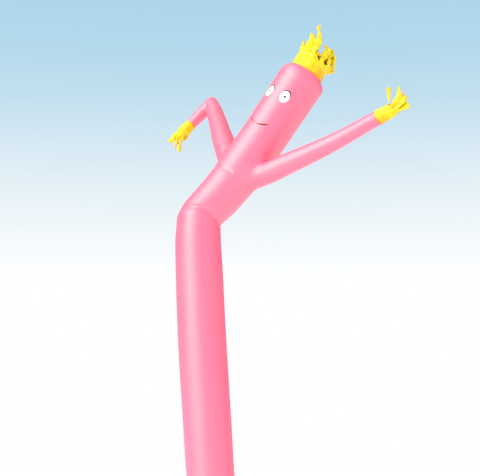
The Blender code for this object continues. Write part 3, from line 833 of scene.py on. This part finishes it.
class Join:
    """Runs a sleeve and the body together, so the cloth of both meets smoothly at the seam."""

    def __init__(self, tube, sleeve, front_reach, top_reach, under_reach, armpit):
        self.body, self.sleeve = BodyReach(tube), SleeveReach(sleeve)
        self.middle = sleeve.centre_line(np.array([sleeve.end * 0.15]))[0][0]
        self.front_reach, self.top_reach, self.under_reach = front_reach, top_reach, under_reach
        self.armpit = armpit

    def reach(self, points):
        """The join is soft in front, closer at the armpit and below, and close behind."""
        way = self.sleeve.outward(points)
        front = smooth_step(-0.45, 0.45, -0.85 * way[:, 1] + 0.55 * way[:, 2])
        above = smooth_step(-0.2, 0.9, way[:, 2])
        above *= smooth_step(self.armpit - 0.3, self.armpit, self.sleeve.from_root(points))
        wide = self.front_reach + (self.top_reach - self.front_reach) * above
        reach = BACK_REACH + (wide - BACK_REACH) * front
        return reach + (self.under_reach - reach) * smooth_step(0.3, 0.9, -way[:, 2])

    def settle(self, points):
        """Moves points near the seam onto the joined surface."""
        body, sleeve = self.body(points), self.sleeve(points)
        reach = self.reach(points)
        near = (np.abs(body - sleeve) < reach) & (np.minimum(body, sleeve) < reach)
        moved = points.copy()
        some = points[near]
        if not len(some):
            return moved
        share = np.clip(4 * (reach - np.abs(body - sleeve))[near] / reach[near], 0.0, 1.0)

        def field(places):
            return smooth_union(self.body(places), self.sleeve(places), reach[near])

        for _ in range(4):
            value, slope = slope_of(field, some)
            size = np.maximum((slope**2).sum(axis=1), 0.2)
            some = some - slope * (value / size * share)[:, None]
        moved[near] = some
        return moved

    def onto_seam(self, points):
        """Moves points to the line where the sleeve meets the body."""
        for _ in range(8):
            body, up = slope_of(self.body, points)
            sleeve, out = slope_of(self.sleeve, points)
            both = (up * out).sum(axis=1)
            size_up, size_out = (up**2).sum(axis=1), (out**2).sum(axis=1)
            whole = np.maximum(size_up * size_out - both**2, 0.05)
            a = (body * size_out - sleeve * both) / whole
            b = (sleeve * size_up - body * both) / whole
            points = points - a[:, None] * up - b[:, None] * out
        return points


def beside_kept(keep):
    """Which points of the grid share a face with a point that is kept."""
    wide = keep | np.roll(keep, 1, axis=1) | np.roll(keep, -1, axis=1)
    tall = wide.copy()
    tall[1:] |= wide[:-1]
    tall[:-1] |= wide[1:]
    return tall


def make_body_cloth(tube, joins):
    """The body tube's cloth, open at the mouth, at the hair and where the sleeves join it."""
    at = tube.places()
    points = tube.skin(at, circle(BODY_STEPS))
    flat = points.reshape(-1, 3)
    keep = np.ones(len(flat), bool)
    seam = np.ones(len(flat))
    for join in joins:
        close = np.nonzero(np.linalg.norm(flat - join.middle, axis=1) < 0.5)[0]
        inside = join.sleeve(flat[close])
        keep[close] &= inside >= 0
        edge = close[beside_kept(keep.reshape(points.shape[:2])).reshape(-1)[close] & (inside < 0)]
        flat[edge] = join.onto_seam(flat[edge])
        flat[close] = join.settle(flat[close])
        seam[close] = np.minimum(seam[close], np.maximum(inside, 0.0))
    from_mouth = np.repeat(at, BODY_STEPS)
    from_top = tube.top - from_mouth
    near = np.maximum(bump_at(seam, 0.035), bump_at(from_top, 0.04))
    near = np.maximum(near, 0.5 * bump_at(from_mouth - HEM_HEIGHT, 0.03))
    mesh = tube_mesh("body_cloth", flat.reshape(points.shape), TUBE_RADIUS, from_mouth, keep)
    doubled = np.maximum(0.6 * smooth_step(0.014, 0.006, from_top), 0.5 * (from_mouth < HEM_HEIGHT))
    set_points(mesh, near_seam=near, doubled=doubled)
    drop_loose(mesh)
    return finish_cloth("body_cloth", mesh, PINK_NYLON, 3.0, (0.003, 0.3), (0.0012, 0.024))


def make_sleeve_cloth(name, sleeve, join, seed):
    """A sleeve's cloth, from its seam on the body to its seam at the hand, and a ring beside that seam."""
    turns, column = circle(SLEEVE_STEPS), np.arange(SLEEVE_STEPS)
    probe = np.linspace(0.0, sleeve.end, 240)
    half = len(probe) // 2
    rings = sleeve.rings(turns)
    skin = through(sleeve.knots, rings, probe[:half], sleeve.ease)
    outside = join.body(skin.reshape(-1, 3)).reshape(half, SLEEVE_STEPS)
    last_inside = half - 1 - np.argmax((outside < 0)[::-1], axis=0)
    a, b = outside[last_inside, column], outside[last_inside + 1, column]
    start = probe[last_inside] + probe[1] * a / (a - b)
    share = np.concatenate([np.linspace(0, 0.12, 22)[:-1], np.linspace(0.12, 1.0, 130)])
    v = start + (sleeve.end - start) * share[:, None]
    points = np.array([through(sleeve.knots, rings, row, sleeve.ease)[column, column] for row in v])
    points[0] = join.onto_seam(points[0])
    points = join.settle(points.reshape(-1, 3)).reshape(points.shape)
    from_wrist = sleeve.end - v
    near = np.maximum(bump_at(v - start, 0.035), bump_at(from_wrist, 0.025))
    mesh = tube_mesh(name, points, sleeve.radii.mean(), v)
    set_points(mesh, near_seam=near, doubled=0.8 * smooth_step(0.01, 0.003, from_wrist))
    cloth = finish_cloth(name, mesh, PINK_NYLON, seed, (0.0025, 0.16), (0.001, 0.022))
    return cloth, points[SEAM_ROW]


# Hair and hands


class End:
    """The end of a tube that a yellow band is sewn to."""

    def __init__(self, centre, axis, side, front):
        self.centre, self.axis, self.side, self.front = (np.array(v) for v in (centre, axis, side, front))

    def ring(self, turns):
        """The ways out from the axis at each angle, from the front."""
        turns = np.asarray(turns)[..., None]
        return self.side * np.sin(turns) + self.front * np.cos(turns)

    def at(self, up, lean=0.0):
        return self.centre + self.axis * up + self.side * lean


def sleeve_end(sleeve):
    axis = (sleeve.points[-1] - sleeve.points[-2]).normalized()
    front = (FRONT - axis * FRONT.dot(axis)).normalized()
    return End(sleeve.points[-1], axis, axis.cross(front), front)


def hair_end():
    x, z = head_sections()[-1][:2]
    side, axis = directions(HAIR_TILT)
    return End((x, 0, z), axis, side, FRONT)


def make_band(name, end, fringe):
    """A short yellow tube, gathered where it is sewn on and loose where it is cut into strips."""
    height, turns = fringe.height, circle(BAND_STEPS)
    at = np.linspace(-BAND_TUCK, height + BAND_UNDER, 28)[:, None]
    radius = np.interp(at, np.linspace(0.0, height, len(fringe.radii)), fringe.radii)
    fine = np.cos(turns * fringe.gathers + 0.6 * np.sin(3 * turns)) * FINE_GATHER
    loose = np.cos(turns * (fringe.gathers // 3) + 1.3 * np.sin(2 * turns)) * LOOSE_GATHER
    share = np.clip(at / height, 0.0, 1.0)
    ripple = fine * (1 - share) + loose * share * (radius / HAIR_RADIUS + 0.3)
    ripple = ripple * smooth_step(0.001, 0.02, at) * smooth_step(height, 0.6 * height, at)
    reach = radius + ripple + 0.0012 * bump_at(np.maximum(at, 0.0), 0.02)
    points = end.at(at, fringe.lean * share)[:, None] + reach[..., None] * end.ring(turns)
    away = (0.5 - 0.5 * np.cos(turns - math.radians(fringe.shaded))) ** 2
    # Painted shade: the red of the real lap beside the seam is painted far heavier on the side away from the
    # light.
    band_lap_and_shade = bump_at(at - 0.003, 0.008) * (0.2 + 0.8 * away)
    # Painted shade: orange, darkest on the side away from the light and fading towards the cut edge, and in
    # the troughs of the gathers.
    low = fringe.depth * away * (1.0 - 0.5 * share) + 0.35 * np.clip(-ripple / 0.004, 0, 1)
    fixed = np.maximum(bump_at(np.maximum(at, 0.0), 0.014), bump_at(np.minimum(at - height, 0.0), 0.014))
    mesh = tube_mesh(name, points, fringe.radii[-1], np.tile(at, BAND_STEPS))
    set_points(mesh, doubled=band_lap_and_shade, folded=low, near_seam=np.tile(fixed, BAND_STEPS))
    return finish_cloth(name, mesh, YELLOW_NYLON, fringe.radii[0] * 100, (0.006, 0.05), (0.0, 0.02))


def strip_guide(strip, end, fringe):
    """Points down a strip's middle, with its half width, facing and painted shade tone at each."""
    radius = fringe.radii[-1]
    outward = end.ring(math.radians(strip.azimuth))
    ring = end.at(fringe.height, fringe.lean) + outward * radius
    root_width = radius * 2 * math.pi / len(fringe.strips) * STRIP_OVERLAP
    stations = [(*(ring + end.axis * up), root_width) for up in (-STRIP_LAP, STRIP_HEIGHT)]
    for up, beside, ahead, width in strip.path:
        stations.append((*(end.at(up, beside) + end.front * ahead), width))
    stations = np.array(stations)
    knots = knots_of(stations[:, :3])
    rows = through(knots, stations, np.linspace(0.0, knots[-1], STRIP_POINTS))
    facing, before, guide = Vector(outward), Vector(end.axis), []
    last = STRIP_POINTS - 1
    for row in range(STRIP_POINTS):
        heading = Vector(rows[min(row + 1, last), :3] - rows[max(row - 1, 0), :3]).normalized()
        facing = before.rotation_difference(heading) @ facing
        before = heading
        t = row / last
        turn = math.radians(strip.turn) * smooth_step(0.1, 0.55, t)
        turn += 0.22 * smooth_step(0.2, 0.5, t) * math.sin(9.0 * t + strip.azimuth)
        half = rows[row, 3] / 2 * min(1.0, 0.62 + 0.19 * (last - row))
        # Painted shade: the strip's own amount grows towards the tip, with darker painted shade at its end.
        tone = strip.tone * (0.7 + 0.3 * t) + 0.25 * smooth_step(0.82, 1.0, t)
        guide.append((rows[row, :3], half, Matrix.Rotation(turn, 3, heading) @ facing, tone))
    return guide


def seat_roots(obj, end, fringe):
    """Lays the strips' first stretch on the round of the band that they are cut from."""
    count, radius = len(fringe.strips), fringe.radii[-1]
    spots = points_of(obj).reshape(count, STRIP_POINTS, STRIP_ACROSS, 3)
    half = STRIP_OVERLAP * math.pi / count
    foot = end.at(fringe.height, fringe.lean)
    for index, (strip, rows) in enumerate(zip(fringe.strips, spots)):
        height = (rows[:, STRIP_ACROSS // 2] - foot) @ end.axis
        middle = math.radians(strip.azimuth)
        towards = end.ring(middle + math.pi / 2)
        way = math.copysign(1.0, (rows[0, -1] - rows[0, 0]) @ towards)
        ring = end.ring(middle + way * half * np.linspace(-1.0, 1.0, STRIP_ACROSS))
        ring = ring * (radius + STRIP_LIFT * (1 + index % 2))
        seated = foot + end.axis * height[:, None, None] + ring
        share = 1.0 - smooth_step(0.1 * radius, 0.02 + 0.25 * radius, height)
        rows += (seated - rows) * share[:, None, None]
    obj.data.vertices.foreach_set("co", spots.reshape(-1))


def make_strips(name, end, fringe):
    """The strips cut from a band's edge, dark inside where they are deep in the band's shade."""
    lines = [strip_guide(strip, end, fringe) for strip in fringe.strips]
    points, halves, facings, tones = zip(*(point for line in lines for point in line))
    obj = make_lines(name, np.array(points).reshape(len(lines), -1, 3), facings)
    set_points(obj.data, half_width=halves, tone=tones)
    radius = fringe.radii[-1]
    apply_tree(obj, CUT_STRIPS, cup=fringe.cup, ripple_height=0.012, ripple_size=0.04,
               flutter_height=0.05 * radius, flutter_pitch=0.075, seed=fringe.seed, material=YELLOW_NYLON)
    seat_roots(obj, end, fringe)
    outer = len(obj.data.vertices)
    obj.data.materials.append(YELLOW_SHADED_INSIDE)
    thicken(obj, CLOTH, 1)
    height = (points_of(obj) - end.at(fringe.height, fringe.lean)) @ end.axis
    tone = np.zeros(len(height))
    obj.data.attributes["tone"].data.foreach_get("value", tone)
    # Painted shade: inner faces go dark brown low in the band and lighten higher up; outer faces take their
    # strip's painted shade, none where sewn.
    deep = 1.0 - smooth_step(0.07 + 0.2 * radius, 0.17 + 0.45 * radius, height)
    folded = np.where(np.arange(len(height)) >= outer, deep, tone * smooth_step(-0.01, 0.04, height))
    set_points(obj.data, folded=folded)
    return obj


# Face


def tree_of(cloth):
    mesh = cloth.data
    return BVHTree.FromPolygons([v.co for v in mesh.vertices], [tuple(p.vertices) for p in mesh.polygons])


class Head:
    """Finds places on the finished body cloth, as an azimuth and a distance below the head's edge."""

    def __init__(self, tube, cloth):
        self.tube = tube
        self.tree = tree_of(cloth)

    def on(self, azimuth, below, lift):
        at, turn = np.array([self.tube.head - below]), np.array([math.radians(azimuth)])
        outer, inner = (Vector(self.tube.skin(at, turn, away)[0, 0]) for away in (0.08, 0.0))
        hit = self.tree.ray_cast(outer, inner - outer)[0]
        return hit + (outer - inner).normalized() * lift

    def oval(self, azimuth, below, half_width, half_height, share, angle, lift):
        """A place on an oval, at a share of the way from its middle."""
        place = azimuth + degrees_across(half_width * share) * math.sin(angle)
        return self.on(place, below - half_height * share * math.cos(angle), lift)


def degrees_across(length):
    return math.degrees(length / HEAD_RADIUS)


def make_oval(name, head, azimuth, half_width, half_height, lift, dome, material):
    """An oval patch sewn on the head, a little domed."""
    steps, rings = 48, 7
    points = [head.on(azimuth, EYE_BELOW, lift + dome)]
    for share in np.arange(1, rings + 1) / rings:
        rise = lift + dome * (1 - share**4)
        for angle in circle(steps):
            points.append(head.oval(azimuth, EYE_BELOW, half_width, half_height, share, angle, rise))
    following = [(i + 1) % steps for i in range(steps)]
    faces = [(0, 1 + following[i], 1 + i) for i in range(steps)]
    for first in range(1, 1 + (rings - 1) * steps, steps):
        for i, j in enumerate(following):
            faces.append((first + i, first + j, first + steps + j, first + steps + i))
    return finish_patch(name, points, faces, 0.0, material)


def make_stripe(name, head, rows, dome, material, faded):
    """A curved piece on the head; each row holds its upper and its lower edge."""
    wide = 7
    points, tones, faces = [], [], []
    for (upper, lower), tone in zip(rows, faded):
        for share in np.arange(wide) / (wide - 1):
            azimuth, below = (b + (a - b) * share for a, b in zip(upper, lower))
            points.append(head.on(azimuth, below, PATCH_LIFT + dome * math.sin(math.pi * share)))
            tones.append(tone)
    for first in range(0, (len(rows) - 1) * wide, wide):
        for a in range(first, first + wide - 1):
            faces.append((a, a + wide, a + wide + 1, a + 1))
    return finish_patch(name, points, faces, tones, material)


def finish_patch(name, points, faces, faded, material):
    mesh = bpy.data.meshes.new(name)
    mesh.from_pydata(points, [], faces)
    mesh.materials.append(material)
    mesh.shade_smooth()
    set_points(mesh, faded=faded)
    obj = add_piece(name, mesh)
    thicken(obj, PATCH_CLOTH)
    return obj


def make_eye(side_name, head, azimuth):
    """An eye's white, its pupil, and the lid that arches over its outer side."""
    name = f"eye_{side_name}"
    white = make_oval(f"{name}_white", head, azimuth, EYE_HALF_WIDTH, EYE_HALF_HEIGHT, PATCH_LIFT, 0.001,
                      WHITE_CLOTH)
    pupil = make_oval(f"{name}_pupil", head, azimuth, PUPIL_RADIUS, PUPIL_RADIUS, PUPIL_LIFT, 0.0006,
                      GREY_CLOTH)
    rows = []
    for t in np.linspace(0, 1, 41):
        angle = math.radians(LID_START + LID_SWEEP * t)
        width = LID_WIDTH * (0.12 + 0.88 * max(math.sin(math.pi * t), 0.0) ** 0.8)
        pair = []
        for reach in (LID_GAP + width, LID_GAP):
            turn = degrees_across(EYE_HALF_WIDTH + reach) * math.sin(angle)
            pair.append((azimuth + turn, EYE_BELOW - (EYE_HALF_HEIGHT + reach) * math.cos(angle)))
        rows.append(pair)
    lid = make_stripe(f"{name}_lid", head, rows, 0.0016, DARK_CLOTH, [0.0] * len(rows))
    return white, pupil, lid


def make_mouth(head):
    rows, faded = [], []
    for share in np.linspace(-1, 1, 73):
        azimuth = FACE_AZIMUTH + MOUTH_HALF_ANGLE * share
        middle = MOUTH_BELOW + MOUTH_DROP * (0.5 - share**2)
        half = MOUTH_HALF_HEIGHT * np.interp(share, *MOUTH_WIDTHS)
        rows.append(((azimuth, middle - half), (azimuth, middle + half)))
        faded.append(np.interp(share, *MOUTH_TONES))
    return make_stripe("mouth_line", head, rows, 0.0012, MOUTH_CLOTH, faded)


# Sewing


def make_lines(name, lines, facing=None):
    """A mesh of guide lines, each a row of points; facing gives the way each point looks."""
    points, edges = [], []
    for line in lines:
        edges += [(len(points) + i, len(points) + i + 1) for i in range(len(line) - 1)]
        points += [tuple(p) for p in line]
    mesh = bpy.data.meshes.new(name)
    mesh.from_pydata(points, edges, [])
    if facing is not None:
        store = mesh.attributes.new("facing", "FLOAT_VECTOR", "POINT")
        store.data.foreach_set("vector", np.array(facing, float).reshape(-1))
    return add_piece(name, mesh)


def sew(name, lines, material, pitch=STITCH_PITCH):
    obj = make_lines(name, lines)
    apply_tree(
        obj, STITCH_ROW, pitch=pitch, length=STITCH_LENGTH, thread_radius=THREAD_RADIUS, material=material
    )
    return obj


def sew_on(name, cloth, rings, material):
    """Rows of stitches through rings of points, laid on the outside of a piece of cloth."""
    tree = tree_of(cloth)
    lines = []
    for ring in rings:
        places = (tree.find_nearest(Vector(point)) for point in ring)
        line = [hit + outward * STITCH_LIFT for hit, outward, _, _ in places]
        lines.append(line + line[:1])
    return sew(name, lines, material)


def grown(ring, share):
    middle = ring.mean(axis=0)
    return middle + (ring - middle) * share


def band_stitches(name, cloth, end, fringe, up, share):
    """The row of stitches that holds a band to its tube."""
    ring = end.at(up) + fringe.radii[0] * end.ring(circle(120))
    return sew_on(name, cloth, [grown(ring, share)], YELLOW_THREAD)


def eye_stitches(side_name, head, azimuth):
    """A fine row of stitches just inside the white's edge."""
    line = [
        head.oval(azimuth, EYE_BELOW, EYE_HALF_WIDTH, EYE_HALF_HEIGHT, 0.93, angle, 0.0023)
        for angle in circle(60)
    ]
    return sew(f"eye_{side_name}_stitches", [line + line[:1]], WHITE_THREAD, EYE_STITCH_PITCH)


def make_back_seam(tube, head):
    """The seam that closes the body tube down its back, with its two rows of stitches."""
    aside = degrees_across(BACK_ROW_AWAY)
    line, looks, rows = [], [], ([], [])
    for place in np.concatenate([np.arange(0.01, tube.head, 0.03), [tube.head]]):
        below = tube.head - place
        middle = head.on(180.0, below, 0.0004)
        line.append(middle)
        looks.append((head.on(180.0, below, 0.01) - middle).normalized())
        for row, sign in zip(rows, (-1, 1)):
            row.append(head.on(180.0 + sign * aside, below, 0.0016))
    tape = make_lines("body_back_seam", [line], looks)
    apply_tree(tape, SEAM_TAPE, half_width=TAPE_HALF_WIDTH, thickness=TAPE_THICKNESS, material=PINK_NYLON)
    set_points(tape.data, doubled=0.7)
    return tape, sew("body_back_stitches", rows, PINK_THREAD, BACK_STITCH_PITCH)


# Surroundings


def make_stage():
    mesh = bpy.data.meshes.new("floor")
    corners = [(x * FLOOR_SIZE, y * FLOOR_SIZE, FLOOR_DROP) for x, y in ((-1, -1), (1, -1), (1, 1), (-1, 1))]
    mesh.from_pydata(corners, [], [(0, 1, 2, 3)])
    mesh.materials.append(new_material("pale_floor", {
        "Roughness": 0.8, "Base Color": (0.93, 0.93, 0.93, 1.0), "Specular IOR Level": 0.1,
        "Emission Color": (1.0, 1.0, 1.0, 1.0), "Emission Strength": FLOOR_GLOW,
    })[0])
    add_piece("floor", mesh)


def make_sky():
    """A pale blue surround that runs to white at the horizon, with soft light from the front."""
    world = bpy.data.worlds.new("pale_sky")
    bpy.context.scene.world = world
    world.use_nodes = True
    tree = Tree(world.node_tree)
    tree.group.nodes.clear()
    way = tree.node("ShaderNodeTexCoord").outputs["Generated"]
    split = tree.node("ShaderNodeSeparateXYZ", way).outputs
    colours = tree.node("ShaderNodeValToRGB", Fac=split["Z"])
    stops = colours.color_ramp.elements
    while len(stops) < len(SKY):
        stops.new(0.5)
    for stop, (height, colour) in zip(stops, SKY):
        stop.position = height
        stop.color = (*colour, 1.0)
    seen = tree.add("ShaderNodeBackground", Color=colours.outputs[0], Strength=1.0)
    from_right = tree.mix(tree.ramp(split["X"], *RIGHT_LIGHT), LEFT_FILL, RIGHT_FILL)
    soft = tree.mix(tree.ramp(split["Y"], *FRONT_LIGHT), BACK_FILL, from_right)
    fill = tree.add("ShaderNodeBackground", Color=tree.mix(glow(tree, way), soft, KEY_LIGHT))
    rays = tree.node("ShaderNodeLightPath").outputs["Is Camera Ray"]
    either = tree.add("ShaderNodeMixShader", rays, fill, seen)
    tree.node("ShaderNodeOutputWorld", Surface=either)


def glow(tree, way):
    """A soft oval glow in the surround, as a large diffused lamp on a leaning stand gives."""
    turn, rise = math.radians(KEY_AZIMUTH), math.radians(KEY_ELEVATION)
    ahead = Vector((math.sin(turn) * math.cos(rise), -math.cos(turn) * math.cos(rise), math.sin(rise)))
    level = Vector((math.cos(turn), math.sin(turn), 0.0))
    beside = Matrix.Rotation(math.radians(KEY_LEAN), 3, ahead) @ level

    def towards(direction):
        return tree.node("ShaderNodeVectorMath", way, direction, operation="DOT_PRODUCT").outputs["Value"]

    def squared(value, size):
        scaled = tree.product(value, 1.0 / size)
        return tree.product(scaled, scaled)

    above = ahead.cross(beside)
    spread = tree.math("ADD", squared(towards(beside), KEY_WIDTH), squared(towards(above), KEY_HEIGHT))
    fade = tree.math("EXPONENT", tree.product(spread, -1.0))
    return tree.product(fade, tree.ramp(towards(ahead), 0.0, 0.1))


def make_camera():
    data = bpy.data.cameras.new("camera")
    data.sensor_width = 36.0
    data.lens = 86.55
    data.clip_end = 200.0
    obj = add_piece("camera", data)
    obj.location = (0.1952, -11.0, 1.6048)
    obj.rotation_euler = (math.radians(100.0), 0.0, 0.0)
    bpy.context.scene.camera = obj


def place(piece, slot, node=None):
    """Puts a piece on the figure and hides the solid that it replaces; the finish it takes is not used."""
    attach(piece, ROOT)
    if node:
        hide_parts(node)


def main():
    make_camera()
    make_stage()
    make_sky()
    bpy.context.scene.view_settings.view_transform = "Standard"

    tube = Tube()
    arms = {"right": Sleeve(ARM_RIGHT, 1.0), "left": Sleeve(ARM_LEFT, 0.8)}
    joins = {
        "right": Join(tube, arms["right"], front_reach=0.14, top_reach=0.04, under_reach=0.055, armpit=0.42),
        "left": Join(tube, arms["left"], front_reach=0.03, top_reach=0.03, under_reach=0.02, armpit=0.0),
    }
    body = make_body_cloth(tube, joins.values())
    head = Head(tube, body)
    back_seam, back_stitches = make_back_seam(tube, head)
    sleeves, seams = {}, {}
    for name, seed in (("right", 5.0), ("left", 8.0)):
        cloth, seam = make_sleeve_cloth(f"sleeve_{name}_cloth", arms[name], joins[name], seed)
        sleeves[name], seams[name] = cloth, seam
    foot = hair_end()
    hair = make_band("hair_band_cloth", foot, HAIR)
    locks = make_strips("hair_strips", foot, HAIR)
    wrists, cuffs, fingers = {}, {}, {}
    for name, fringe in HANDS.items():
        wrists[name] = sleeve_end(arms[name])
        cuffs[name] = make_band(f"cuff_{name}_cloth", wrists[name], fringe)
        fingers[name] = make_strips(f"hand_{name}_strips", wrists[name], fringe)
    for name, sign in SIDES:
        white, pupil, lid = make_eye(name, head, FACE_AZIMUTH + sign * EYE_AZIMUTH)
        place(white, "white_cloth", f"eye_{name}")
        place(pupil, "grey_cloth", f"pupil_{name}")
        place(lid, "dark_cloth", f"lid_{name}")
    place(make_mouth(head), "dark_cloth", "mouth")
    hem_rings = tube.skin(np.array([0.008, HEM_HEIGHT - 0.005]), circle(240), 0.004)
    hem = sew_on("body_hem_stitches", body, hem_rings, PINK_THREAD)
    hair_seam = band_stitches("hair_stitches", hair, foot, HAIR, 0.007, 1.04)

    place(body, "pink_nylon", "body_tube")
    for piece in (back_seam, back_stitches, hem):
        place(piece, "pink_nylon")
    place(hair, "yellow_nylon", "hair_band")
    place(locks, "yellow_nylon", "hair_locks")
    place(hair_seam, "yellow_nylon")
    roots, bands = {}, [(hair, HAIR, [locks, hair_seam])]
    for name, fringe in HANDS.items():
        ring = grown(seams[name], 1.04)
        roots[name] = sew_on(f"sleeve_{name}_stitches", sleeves[name], [ring], PINK_THREAD)
        wrist = band_stitches(f"cuff_{name}_stitches", cuffs[name], wrists[name], fringe, 0.006, 1.1)
        place(sleeves[name], "pink_nylon", f"arm_{name}")
        place(roots[name], "pink_nylon")
        place(cuffs[name], "yellow_nylon", f"cuff_{name}")
        place(fingers[name], "yellow_nylon", f"fingers_{name}")
        place(wrist, "yellow_nylon")
        bands.append((cuffs[name], fringe, [fingers[name], wrist]))
    for name, sign in SIDES:
        place(eye_stitches(name, head, FACE_AZIMUTH + sign * EYE_AZIMUTH), "white_cloth")


main()
